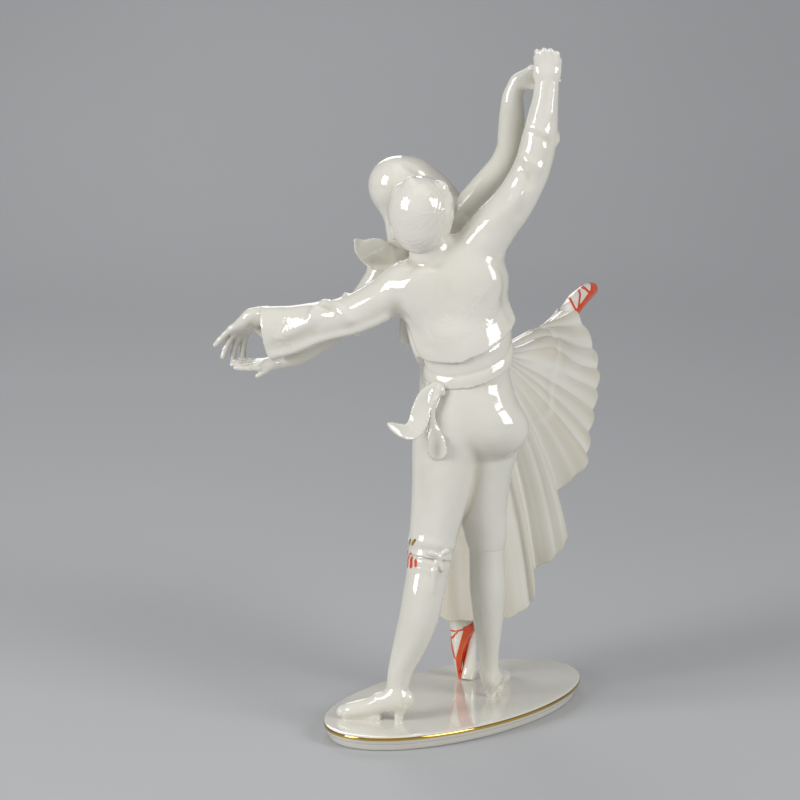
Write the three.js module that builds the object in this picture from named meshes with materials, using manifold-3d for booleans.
// A porcelain dancing couple on a thin oval base, cast and glazed as one piece.
// Millimetres, +Z up. The origin is the middle of the underside of the base. The dancers face -Y,
// and +X is on their left.
import * as THREE from "three";
import { mergeVertices } from "three/addons/utils/BufferGeometryUtils.js";
import Module from "manifold-3d";

// Driving dimensions of the base
const BASE_LENGTH = 165.6;
const BASE_WIDTH = 88.8;
const BASE_TURN = 47;
const BASE_TOP = 7.5;
const BASE_EDGE = 6;
const BASE_FOOT_INSET = 2.5;
const BASE_TOP_INSET = 0.8;

// How deep the feet are sunk into the base
const SUNK = 0.5;

// Facets: the sides of the base, a body, a head, a limb, a slim form and a finger
const BASE_SIDES = 40;
const BODY_SIDES = 14;
const HEAD_SIDES = 12;
const EGG_ROWS_PER_SIDE = 0.6;
const LIMB_SIDES = 10;
const SLIM_SIDES = 8;
const FINGER_SIDES = 5;

// Directions
const LEFT = [1, 0, 0];
const UP = [0, 0, 1];
const FRONT = [0, -1, 0];

// Where the dancers' own frame stands on the base
const DANCERS_PLACE = [2.2, 4.8, 0];

// The rounded end of a limb: how far out and how wide its middle ring is, as shares of the end
const END_REACH = 0.62;
const END_WIDTH = 0.78;

// A hand of size 1: the fingers from the first to the little one, their bones and the thumb
const FINGER_LENGTHS = [13.5, 15, 14, 11.5];
const BONE_SHARES = [0.4, 0.33, 0.27];
const BONE_BENDS = [0.7, 1.25, 1.8];
const FIRST_FINGER_SIDE = 4.9;
const FINGER_SPACING = 3.2;
const KNUCKLE_REACH = 10;
const KNUCKLE_RADIUS = 1.7;
const FINGER_RADII = [1.6, 1.45, 1.3];
const THUMB_ROOT = [2, 3.2, 0.8];
const THUMB_BONES = [1, 6, 11];
const THUMB_RADIUS = 2.1;
const THUMB_TAPER = 0.06;

// The skirt
const PLEATS = 32;
const PLEAT_SEGMENTS = 2;
const PLEAT_DEPTH = 2.6;
const SCALLOP = 1.4;
const SKIRT_RINGS = 6;
const SKIRT_BULGE = 7.5;
const SKIRT_SAG = 3;
const UNDERSIDE_STEPS = 4;
const UNDERSIDE_RECESS = 9;
const HANGING_REACH = 0.75;
const HANGING_FROM = [0.16, 0.3];
const HANGING_TO = [0.56, 0.46];
const WAVE_MEAN = 0.6;
const WAIST_MIDDLE = [-1.5, -28, 180];
const WAIST_HALF_WIDTH = 17;
const WAIST_HALF_DEPTH = 13.5;
const WAIST_RISE = 4;
const WAIST_START = 240;
const NEAR_WAIST_SHARE = 0.665;

const point = (p) => new THREE.Vector3(p[0], p[1], p[2]);
const mix = (a, b, t) => a + (b - a) * t;
const smooth = (from, to, value) => {
  const share = THREE.MathUtils.clamp((value - from) / (to - from), 0, 1);
  return share * share * (3 - 2 * share);
};

const wasm = await Module();
wasm.setup();

// A closed geometry as a solid that can be joined or cut.
function solid(geometry) {
  const bare = geometry.clone();
  bare.deleteAttribute("normal");
  bare.deleteAttribute("uv");
  const merged = mergeVertices(bare, 1e-4);
  const mesh = new wasm.Mesh({
    numProp: 3,
    vertProperties: new Float32Array(merged.attributes.position.array),
    triVerts: new Uint32Array(merged.index.array),
  });
  return new wasm.Manifold(mesh);
}

function joined(solids) {
  return solids.reduce((all, one) => all.add(one));
}

// A closed skin over rings of equally many points, with a point closing each end.
function ringSkin(rings, first, last) {
  const count = rings[0].length;
  const positions = [first, ...rings.flat(), last].flatMap((p) => p.toArray());
  const at = (ring, k) => 1 + ring * count + (k % count);
  const faces = [];
  for (let k = 0; k < count; k++) {
    faces.push(0, at(0, k + 1), at(0, k));
    for (let ring = 0; ring + 1 < rings.length; ring++) {
      faces.push(at(ring, k), at(ring, k + 1), at(ring + 1, k + 1));
      faces.push(at(ring, k), at(ring + 1, k + 1), at(ring + 1, k));
    }
    faces.push(at(rings.length - 1, k), at(rings.length - 1, k + 1), 1 + rings.length * count);
  }
  const skin = new THREE.BufferGeometry();
  skin.setAttribute("position", new THREE.Float32BufferAttribute(positions, 3));
  skin.setIndex(faces);
  return skin;
}

// A round-ended limb through stations [x, y, z, half width, half depth]. The width is measured along
// `across`. An end named in `flat` is cut square instead of rounded.
function limb(stations, across = LEFT, { sides = LIMB_SIDES, flat = [] } = {}) {
  const path = new THREE.CatmullRomCurve3(stations.map(point), false, "centripetal");
  const girth = new THREE.CatmullRomCurve3(
    stations.map((s) => new THREE.Vector3(s[3], s[4] ?? s[3], 0)),
    false,
    "centripetal",
  );
  const ringAt = (centre, along, halfWidth, halfDepth) => {
    const wide = point(across).addScaledVector(along, -point(across).dot(along)).normalize();
    const deep = new THREE.Vector3().crossVectors(along, wide);
    return Array.from({ length: sides }, (_, k) => {
      const turn = (2 * Math.PI * k) / sides;
      return centre
        .clone()
        .addScaledVector(wide, halfWidth * Math.cos(turn))
        .addScaledVector(deep, halfDepth * Math.sin(turn));
    });
  };
  const spans = stations.length - 1;
  const rings = [];
  for (let i = 0; i <= spans; i++) {
    const size = girth.getPoint(i / spans);
    rings.push(ringAt(path.getPoint(i / spans), path.getTangent(i / spans), size.x, size.y));
  }
  const endPoint = (end) => {
    const centre = path.getPoint(end);
    const along = path.getTangent(end);
    const size = girth.getPoint(end);
    const reach = Math.min(size.x, size.y) * (end ? 1 : -1);
    if (flat.includes(end ? "end" : "start")) return centre;
    const rounded = ringAt(
      centre.clone().addScaledVector(along, reach * END_REACH),
      along,
      size.x * END_WIDTH,
      size.y * END_WIDTH,
    );
    if (end) rings.push(rounded);
    else rings.unshift(rounded);
    return centre.clone().addScaledVector(along, reach);
  };
  const first = endPoint(0);
  const last = endPoint(1);
  return solid(ringSkin(rings, first, last));
}

// An egg of given half sizes along its own axes: `up` is its own Z and `front` its own -Y.
function egg(centre, halves, up = UP, front = FRONT, sides = HEAD_SIDES) {
  const z = point(up).normalize();
  const y = point(front).negate();
  y.addScaledVector(z, -y.dot(z)).normalize();
  const x = new THREE.Vector3().crossVectors(y, z);
  const shape = new THREE.SphereGeometry(1, sides, Math.round(sides * EGG_ROWS_PER_SIDE));
  shape.rotateX(Math.PI / 2);
  shape.scale(halves[0], halves[1], halves[2]);
  shape.applyMatrix4(new THREE.Matrix4().makeBasis(x, y, z).setPosition(...centre));
  return solid(shape);
}

// The oval base: a foot a little smaller than the edge, and a softly rounded top edge.
function base() {
  const oval = (inset, z) =>
    Array.from({ length: BASE_SIDES }, (_, k) => {
      const turn = (2 * Math.PI * k) / BASE_SIDES;
      return new THREE.Vector3(
        (BASE_LENGTH / 2 - inset) * Math.cos(turn),
        (BASE_WIDTH / 2 - inset) * Math.sin(turn),
        z,
      );
    });
  const rings = [
    oval(BASE_FOOT_INSET, 0),
    oval(0, BASE_EDGE),
    oval(BASE_TOP_INSET, BASE_TOP),
  ];
  const skin = ringSkin(rings, new THREE.Vector3(0, 0, 0), new THREE.Vector3(0, 0, BASE_TOP));
  skin.rotateZ(THREE.MathUtils.degToRad(BASE_TURN));
  return solid(skin);
}

// A hand: a flat palm, four fingers bent towards the palm's own side, and a thumb.
// `curls` are the bends of the fingers from the first to the little one, and `spread` is the fan
// between them, in degrees.
function hand(pose) {
  const { wrist, reach, palm, size, curls, spread, thumbSide, thumbOut, thumbIn } = pose;
  const along = point(reach).normalize();
  const inward = point(palm);
  inward.addScaledVector(along, -inward.dot(along)).normalize();
  const across = new THREE.Vector3().crossVectors(along, inward).multiplyScalar(thumbSide);
  const row = ([a, c, i], halfWidth, halfDepth = halfWidth) => {
    const place = point(wrist)
      .addScaledVector(along, a * size)
      .addScaledVector(across, c * size)
      .addScaledVector(inward, i * size);
    return [place.x, place.y, place.z, halfWidth * size, halfDepth * size];
  };
  const wide = across.toArray();
  const palmRows = [row([-2, 0, 0], 4, 3), row([4, 0, 0], 5, 3), row([11, 0, 0.5], 6.6, 2.6)];
  const parts = [limb(palmRows, wide, { sides: SLIM_SIDES })];
  FINGER_LENGTHS.forEach((length, k) => {
    const fan = THREE.MathUtils.degToRad((1.5 - k) * spread);
    const tip = [KNUCKLE_REACH, FIRST_FINGER_SIDE - FINGER_SPACING * k, 0.5];
    const rows = [row(tip, KNUCKLE_RADIUS)];
    BONE_SHARES.forEach((share, joint) => {
      const bend = THREE.MathUtils.degToRad(curls[k] * BONE_BENDS[joint]);
      tip[0] += length * share * Math.cos(bend) * Math.cos(fan);
      tip[1] += length * share * Math.cos(bend) * Math.sin(fan);
      tip[2] += length * share * Math.sin(bend);
      rows.push(row(tip, FINGER_RADII[joint]));
    });
    parts.push(limb(rows, wide, { sides: FINGER_SIDES }));
  });
  const out = THREE.MathUtils.degToRad(thumbOut);
  const inn = THREE.MathUtils.degToRad(thumbIn);
  const way = [Math.cos(out) * Math.cos(inn), Math.sin(out) * Math.cos(inn), Math.sin(inn)];
  const thumb = THUMB_BONES.map((d) =>
    row(THUMB_ROOT.map((start, axis) => start + d * way[axis]), THUMB_RADIUS - THUMB_TAPER * d),
  );
  parts.push(limb(thumb, wide, { sides: FINGER_SIDES }));
  return joined(parts);
}

// The man's breeches, sash and short jacket
function manTorso() {
  const hips = limb(
    [
      [-8, 6, 136, 20, 13],
      [-8.8, 7, 144, 24, 17],
      [-8.2, 8, 159, 24.3, 18.4],
      [-7.7, 7.5, 170, 21.5, 16.5],
      [-7, 7, 184, 20.5, 15.5],
    ],
    LEFT,
    { sides: BODY_SIDES, flat: ["end"] },
  );
  const sash = limb(
    [
      [-8, 7.5, 168.5, 22.3, 17.4],
      [-7.4, 7, 177, 22, 17],
      [-6, 6, 187, 22, 17],
    ],
    LEFT,
    { sides: BODY_SIDES, flat: ["start", "end"] },
  );
  const jacket = limb(
    [
      [-6.5, 6, 182.5, 25, 19.2],
      [-4.3, 4, 193, 25.5, 19.5],
      [-1.5, 2, 206, 25.5, 19],
      [1, 1.5, 217, 25.5, 17.5],
      [4, 2, 226, 20, 14],
      [8, 3.5, 234, 12, 10.5],
      [10.5, 4.5, 239, 9, 9],
    ],
    LEFT,
    { sides: BODY_SIDES, flat: ["start", "end"] },
  );
  const seat = [
    [-20.2, 12.8, 149],
    [3, 15, 146],
  ].map((centre) => egg(centre, [15.4, 14, 15.6]));
  return joined([hips, sash, jacket, ...seat]);
}

function manHead() {
  const turn = [-0.35, -0.93, 0.05];
  const tilt = [0.12, 0.06, 1];
  const skull = egg([15.5, 5.5, 254.5], [14, 16.5, 15.5], tilt, turn);
  const hair = egg([15.6, 7.6, 253.4], [15.3, 15.4, 18], tilt, turn);
  const jaw = egg([11.5, -2.5, 245.5], [8.6, 9, 9.5], tilt, turn);
  const nose = egg([8.9, -11.8, 250.8], [1.5, 2.2, 3.6], tilt, turn, FINGER_SIDES);
  const neck = limb([[8.5, 4, 230, 8.5], [11, 4, 238, 8], [13.5, 4.5, 247, 8.5]], LEFT);
  return joined([skull, hair, jaw, nose, neck]);
}

function manArms() {
  const leftSleeve = limb(
    [
      [8, 2, 219, 13, 13],
      [20, 2.5, 216.8, 12, 12],
      [32.7, 3.5, 211.2, 10.6, 10.6],
      [49.8, 2, 202.5, 9.8, 9.6],
      [65, -2.5, 198.1, 10.4, 9],
      [77.8, -6, 194, 12.2, 8.8],
      [90.5, -9, 191.5, 13.5, 9],
    ],
    UP,
    { flat: ["end"] },
  );
  const rightSleeve = limb(
    [
      [-4, 3, 222, 14, 13],
      [-12, 3.5, 234.5, 12.6, 12],
      [-28.2, 3, 257.5, 11, 10.5],
      [-37, 2, 273.9, 10, 9.8],
      [-41.9, 1, 291.1, 8.8, 8.6],
      [-43.5, 0.4, 301, 7.3, 7.5],
      [-44.9, 0, 313, 5.9, 5.5],
    ],
    LEFT,
    { flat: ["end"] },
  );
  const leftWrist = limb(
    [
      [86, -9, 198.5, 5],
      [92, -9.8, 200, 4.9],
      [98.5, -11.3, 199.2, 4.3],
    ],
    UP,
    { sides: SLIM_SIDES },
  );
  const leftHand = hand({
    wrist: [99.5, -11.5, 198.2],
    reach: [0.55, -0.45, -0.7],
    palm: [-0.26, 0.71, -0.66],
    size: 1.03,
    curls: [30, 27, 22, 8],
    spread: 10,
    thumbSide: -1,
    thumbOut: 80,
    thumbIn: 35,
  });
  const rightHand = hand({
    wrist: [-45.2, 0.4, 316.6],
    reach: [-0.02, -0.03, 1],
    palm: [0, -1, 0],
    size: 1.02,
    curls: [96, 100, 100, 94],
    spread: 0,
    thumbSide: 1,
    thumbOut: 10,
    thumbIn: 25,
  });
  return joined([leftSleeve, rightSleeve, leftWrist, leftHand, rightHand]);
}

// A heeled shoe along `reach` from the back of the heel
function shoe(heel, reach) {
  const along = point(reach).normalize();
  const across = new THREE.Vector3(-along.y, along.x, 0).toArray();
  const station = (a, z, halfWidth, halfHeight) => [
    heel[0] + along.x * a,
    heel[1] + along.y * a,
    z,
    halfWidth,
    halfHeight,
  ];
  const upper = limb(
    [
      station(2.4, 18.4, 4.4, 5.4),
      station(8, 17.8, 5.2, 6),
      station(14, 15.8, 5, 5.2),
      station(22, 12.8, 5.4, 4.7),
      station(28.5, 11.6, 5.4, 4.2),
      station(33, 10.8, 4, 3.2),
    ],
    across,
    { sides: SLIM_SIDES },
  );
  const block = limb(
    [
      station(4, 15, 4.2, 4.2),
      station(5, 11, 2.7, 2.7),
      station(5.6, BASE_TOP - SUNK, 2.9, 2.7),
    ],
    across,
    { sides: SLIM_SIDES, flat: ["end"] },
  );
  return joined([upper, block]);
}

function manLegs() {
  const left = limb(
    [
      [1.5, 9, 152, 15, 15],
      [2.5, 11, 142.3, 16.6, 16],
      [4.4, 14, 124.9, 15.3, 15.5],
      [7.3, 17, 107.1, 12.9, 13.5],
      [10.2, 20, 89.3, 10.4, 11],
      [12.7, 23, 74.9, 10, 10.8],
      [15.1, 26, 60.6, 10, 10.8],
      [20.5, 30, 44.6, 8.4, 8.6],
      [25.4, 32, 31, 6.3, 6.2],
      [27, 32.5, 22, 5.5, 5.5],
    ],
    LEFT,
  );
  const right = limb(
    [
      [-19, 5, 152, 13, 13],
      [-18.5, 5, 141, 14.2, 14.2],
      [-16.4, 4.4, 123.5, 12.8, 14],
      [-14.6, 3.5, 106, 12.2, 13],
      [-15.6, 2.2, 88, 10.4, 11],
      [-17.8, 2, 66.5, 9.8, 10.8],
      [-18.6, 1, 45.7, 7.2, 7.8],
      [-19, -0.5, 29.9, 4.9, 5.2],
      [-19.3, -2.5, 21, 4.6, 5],
    ],
    LEFT,
  );
  const leftShoe = shoe([20.6, 35.6, 0], [1, -0.16, 0]);
  const rightShoe = shoe([-18.9, 1.2, 0], [-0.24, -0.97, 0]);
  return joined([left, right, leftShoe, rightShoe]);
}

// The knot of the sash at his left hip and its two tails
function sashTails() {
  const knot = egg([8.5, 23.5, 170], [4.6, 4, 4.2], UP, FRONT, SLIM_SIDES);
  const flying = limb(
    [
      [9, 24, 170, 3, 1.6],
      [15.8, 28, 163.6, 6, 1.4],
      [22.5, 31.5, 158.2, 6, 1.4],
      [29, 33, 157.6, 3.6, 1.3],
    ],
    [-0.3, 0.2, 1],
    { sides: SLIM_SIDES },
  );
  const hanging = limb(
    [
      [8.1, 24, 169, 2.6, 1.6],
      [9.5, 27, 158.5, 3.6, 1.5],
      [7.6, 27, 146, 5.2, 1.5],
      [6.1, 26, 138, 4.2, 1.4],
    ],
    LEFT,
    { sides: SLIM_SIDES },
  );
  return joined([knot, flying, hanging]);
}

function womanTorso() {
  return limb(
    [
      [-5, -28, 150, 20, 16],
      [-5, -28.5, 160, 21, 16.5],
      [-3.5, -28, 172, 19.5, 15],
      [-0.5, -27.5, 186, 16, 12.5],
      [4.5, -28, 200, 17.5, 14],
      [8.5, -29, 212, 18.5, 14.5],
      [11.5, -29, 221, 18, 11.5],
      [14.5, -29.5, 229, 10, 8],
      [16, -30.5, 236, 6, 6],
      [17.5, -31.5, 246, 6, 6.5],
    ],
    LEFT,
    { sides: BODY_SIDES },
  );
}

function womanHead() {
  const turn = [-0.45, -0.85, 0.27];
  const tilt = [0.45, 0.15, 0.88];
  const skull = egg([19, -33, 255.5], [14, 16.5, 16], tilt, turn);
  const jaw = egg([13.5, -39.5, 247.5], [7.6, 8.5, 9.5], tilt, turn);
  const nose = egg([10.6, -47.9, 254.4], [1.3, 2, 3.3], tilt, turn, FINGER_SIDES);
  const kerchief = egg([20, -31, 257.6], [15.6, 16.6, 16.6], tilt, turn);
  const crown = egg([26.2, -24.5, 262.4], [15, 14.3, 14.9], tilt, turn);
  const drape = limb(
    [
      [20, -31, 262, 15, 13],
      [12, -33, 252, 16.5, 12],
      [3.5, -33, 243, 13.5, 10],
      [0, -31, 233, 9, 8],
    ],
    [0.7, -0.2, 0.6],
  );
  const rightDrape = egg([5.5, -31, 247], [12.8, 11, 20], [0.25, 0, 1]);
  const nape = limb(
    [
      [23, -24, 250, 11, 10],
      [24.5, -21, 240, 8, 7],
      [25.5, -17, 231, 5.5, 3.5],
    ],
    LEFT,
    { sides: SLIM_SIDES },
  );
  const tail = limb(
    [
      [23.5, -17, 227.8, 4, 2.8],
      [31.5, -14.4, 228.8, 7, 1.4],
      [37.5, -13.2, 231, 7.9, 1.2],
      [44.6, -11.8, 234.4, 4.4, 1.1],
      [47, -11.4, 237, 1.8, 1],
    ],
    [0.35, 0, 1],
    { sides: SLIM_SIDES },
  );
  return joined([skull, jaw, nose, kerchief, crown, drape, rightDrape, nape, tail]);
}

function womanArms() {
  const left = limb(
    [
      [22, -29, 226, 9.5, 9],
      [30.3, -28, 225, 8.2, 8],
      [38.2, -25.5, 212.5, 7, 7],
      [54.6, -22.5, 193.5, 6.7, 6.4],
      [65.9, -19, 185.8, 6.4, 6.2],
      [77.7, -16, 178.4, 5.4, 5.2],
      [87, -14, 175.7, 4.3, 4],
    ],
    UP,
    { sides: SLIM_SIDES },
  );
  const right = limb(
    [
      [4, -29, 229, 9.4, 9.2],
      [-3, -29, 242, 9.2, 9],
      [-11.8, -26, 255, 8, 7.8],
      [-19.5, -21, 266, 7.1, 7],
      [-26.2, -16.2, 277.5, 6.5, 6.3],
      [-28.5, -13.5, 291, 6.4, 6.1],
      [-28.9, -12, 300, 6, 5.6],
      [-29.4, -11.2, 308.5, 5, 4.5],
      [-31.6, -10.8, 314.2, 4.1, 3.7],
    ],
    LEFT,
    { sides: SLIM_SIDES },
  );
  const leftHand = hand({
    wrist: [87, -14, 175.7],
    reach: [1, 0.1, -0.08],
    palm: [0, 0.25, 1],
    size: 0.84,
    curls: [4, 6, 9, 12],
    spread: 4,
    thumbSide: -1,
    thumbOut: 22,
    thumbIn: -32,
  });
  const rightHand = hand({
    wrist: [-32.2, -10.5, 315.2],
    reach: [-0.94, 0.14, 0.32],
    palm: [0, 1, -0.1],
    size: 0.84,
    curls: [20, 24, 28, 30],
    spread: 4,
    thumbSide: 1,
    thumbOut: 30,
    thumbIn: 10,
  });
  return joined([left, right, leftHand, rightHand]);
}

function womanLegs() {
  const standing = limb(
    [
      [0.4, -32, 152, 13, 13],
      [-1.3, -34, 127, 11.5, 11.5],
      [-2.4, -36, 95, 9, 9],
      [-3.1, -36, 69, 8.5, 9],
      [-4, -35, 50, 7.4, 8],
      [-5, -34.5, 40, 6.2, 6.4],
      [-5.4, -34.8, 32, 5.3, 5.2],
      [-4.2, -36, 22, 3.4, 4.6],
      [-4.5, -37.2, 14, 2.2, 3.8],
      [-5, -38.3, BASE_TOP - SUNK, 1.6, 2.4],
    ],
    LEFT,
    { sides: SLIM_SIDES },
  );
  const raised = limb(
    [
      [-10, -35, 154, 11, 11],
      [-31, -55, 164, 9.8, 9.8],
      [-45, -67, 170, 8.6, 8.6],
      [-52.6, -84.4, 173, 7.2, 7.2],
      [-57.4, -97.5, 176.8, 6, 6],
      [-61, -107.5, 182, 5, 5],
      [-66.2, -118.5, 187.2, 4.8, 5],
      [-73.6, -135, 190.8, 4.8, 4.6],
      [-76.4, -140.4, 191.6, 4, 3.8],
    ],
    [-0.86, 0.5, 0],
    { sides: SLIM_SIDES },
  );
  const pillar = limb(
    [
      [-9.2, -34, BASE_TOP - SUNK, 4.6, 3.8],
      [-9.9, -35.2, 12, 3.8, 3.2],
      [-10.6, -37.2, 28, 3.2, 3],
      [-11, -36, 50, 4.5, 4.5],
    ],
    LEFT,
    { sides: SLIM_SIDES },
  );
  return joined([standing, raised, pillar]);
}

// The hem of the skirt: from the raised ankle down its near side to the standing leg, and from the
// same ankle down its far side.
const HEM_NEAR = new THREE.CatmullRomCurve3(
  [
    [-57.5, -107, 185],
    [-66.5, -111, 181.5],
    [-75, -99, 169.5],
    [-77.4, -86, 157.5],
    [-75.5, -75, 144.5],
    [-71.8, -63, 130],
    [-68.2, -54, 115.5],
    [-58, -48, 104],
    [-55.5, -42, 93.5],
    [-58.2, -38, 82],
    [-52.5, -35, 72],
    [-43.5, -32, 65.5],
    [-43, -27.5, 56.5],
    [-39.2, -25, 48.5],
    [-29, -20.5, 44.7],
    [-15, -17.5, 43.8],
    [0, -20, 43.5],
    [13, -30, 45],
  ].map(point),
);
const HEM_FAR = new THREE.CatmullRomCurve3(
  [
    [-57.5, -107, 185],
    [-58, -120, 176],
    [-54, -121, 154],
    [-47, -115, 126],
    [-36, -103, 98],
    [-22, -87, 74],
    [-6, -69, 58],
    [7, -51, 49],
    [13, -30, 45],
  ].map(point),
);
const SKIRT_HEART_TOP = [-4, -30, 165];
const SKIRT_HEART_LOW = [-30, -66, 105];

// Where the skirt leaves the waist; `around` runs from 0 over the raised leg, past the near side, to 1.
function waistPoint(around) {
  const turn = THREE.MathUtils.degToRad(WAIST_START - 360 * around);
  const offset = new THREE.Vector3(
    WAIST_HALF_WIDTH * Math.cos(turn),
    WAIST_HALF_DEPTH * Math.sin(turn),
    WAIST_RISE * Math.sin(turn),
  );
  return offset.add(point(WAIST_MIDDLE));
}

// A point of the skirt: `around` 0..1 as above, `down` 0 at the waist and 1 at the hem.
function skirtPoint(around, down) {
  const near = around <= 0.5;
  const hem = near ? HEM_NEAR.getPoint(2 * around) : HEM_FAR.getPoint(2 - 2 * around);
  const share = near ? 2 * around * NEAR_WAIST_SHARE : mix(NEAR_WAIST_SHARE, 1, 2 * around - 1);
  const waist = waistPoint(share);
  const middle = waist.clone().lerp(hem, 0.5);
  const heart = point(SKIRT_HEART_TOP).lerp(point(SKIRT_HEART_LOW), 0.5);
  const outward = middle.clone().sub(heart).normalize();
  const overLeg = Math.max(0, Math.cos(2 * Math.PI * around)) ** 3;
  const bend = middle.addScaledVector(outward, SKIRT_BULGE);
  bend.z -= SKIRT_SAG * overLeg;
  const hanging = smooth(...HANGING_FROM, around) * smooth(...HANGING_TO, around);
  const below = new THREE.Vector3(
    mix(waist.x, hem.x, HANGING_REACH),
    mix(waist.y, hem.y, HANGING_REACH),
    mix(hem.z, waist.z, HANGING_REACH),
  );
  bend.lerp(below, hanging);
  const place = waist
    .clone()
    .multiplyScalar((1 - down) ** 2)
    .addScaledVector(bend, 2 * down * (1 - down))
    .addScaledVector(hem, down ** 2);
  const run = hem.clone().sub(waist).normalize();
  outward.addScaledVector(run, -outward.dot(run)).normalize();
  const wave = Math.abs(Math.sin(Math.PI * PLEATS * around)) - WAVE_MEAN;
  place.addScaledVector(outward, wave * PLEAT_DEPTH * down);
  place.addScaledVector(run, wave * SCALLOP * down ** 3);
  return place;
}

// The skirt: a pleated skin from waist to hem, closed below by a hollowed underside.
function skirt() {
  const count = PLEATS * PLEAT_SEGMENTS;
  const positions = [];
  const faces = [];
  const add = (p) => positions.push(p.x, p.y, p.z) / 3 - 1;
  const waistCentre = add(point(WAIST_MIDDLE));
  const rows = [];
  for (let ring = 0; ring <= SKIRT_RINGS; ring++) {
    const row = [];
    for (let k = 0; k < count; k++) row.push(add(skirtPoint(k / count, ring / SKIRT_RINGS)));
    rows.push(row);
  }
  for (let k = 0; k < count; k++) {
    const next = (k + 1) % count;
    faces.push(waistCentre, rows[0][next], rows[0][k]);
    for (let ring = 0; ring < SKIRT_RINGS; ring++) {
      faces.push(rows[ring][k], rows[ring][next], rows[ring + 1][next]);
      faces.push(rows[ring][k], rows[ring + 1][next], rows[ring + 1][k]);
    }
  }
  const hem = rows[SKIRT_RINGS];
  const half = count / 2;
  const at = (index) => new THREE.Vector3().fromArray(positions, 3 * index);
  const across = [];
  for (let k = 0; k <= half; k++) {
    const nearSide = hem[k];
    const farSide = hem[(count - k) % count];
    if (nearSide === farSide) {
      across.push(Array(UNDERSIDE_STEPS + 1).fill(nearSide));
      continue;
    }
    const line = [nearSide];
    for (let j = 1; j < UNDERSIDE_STEPS; j++) {
      const t = j / UNDERSIDE_STEPS;
      const spot = at(nearSide).lerp(at(farSide), t);
      const inward = point(SKIRT_HEART_TOP).sub(spot).normalize();
      const width = at(nearSide).distanceTo(at(farSide));
      const recess = Math.min(UNDERSIDE_RECESS, width / 3) * Math.sqrt(Math.sin(Math.PI * t));
      line.push(add(spot.addScaledVector(inward, recess)));
    }
    line.push(farSide);
    across.push(line);
  }
  const addTriangle = (a, b, c) => {
    if (a !== b && b !== c && c !== a) faces.push(a, b, c);
  };
  for (let k = 0; k < half; k++) {
    for (let j = 0; j < UNDERSIDE_STEPS; j++) {
      addTriangle(across[k][j], across[k + 1][j], across[k + 1][j + 1]);
      addTriangle(across[k][j], across[k + 1][j + 1], across[k][j + 1]);
    }
  }
  const skin = new THREE.BufferGeometry();
  skin.setAttribute("position", new THREE.Float32BufferAttribute(positions, 3));
  skin.setIndex(faces);
  return solid(skin);
}

const dancers = joined([
  manTorso(),
  manHead(),
  manArms(),
  manLegs(),
  sashTails(),
  womanTorso(),
  womanHead(),
  womanArms(),
  womanLegs(),
  skirt(),
]);
const couple = base().add(dancers.translate(DANCERS_PLACE));

const shell = couple.getMesh();
const geometry = new THREE.BufferGeometry();
geometry.setAttribute("position", new THREE.BufferAttribute(shell.vertProperties, 3));
geometry.setIndex(new THREE.BufferAttribute(shell.triVerts, 1));
geometry.computeVertexNormals();

const porcelain = new THREE.MeshStandardMaterial({ color: 0xe9e6de, roughness: 0.08, metalness: 0 });
const figurine = new THREE.Mesh(geometry, porcelain);
figurine.name = "dancing_couple";

const part = new THREE.Group();
part.add(figurine);

export default part;
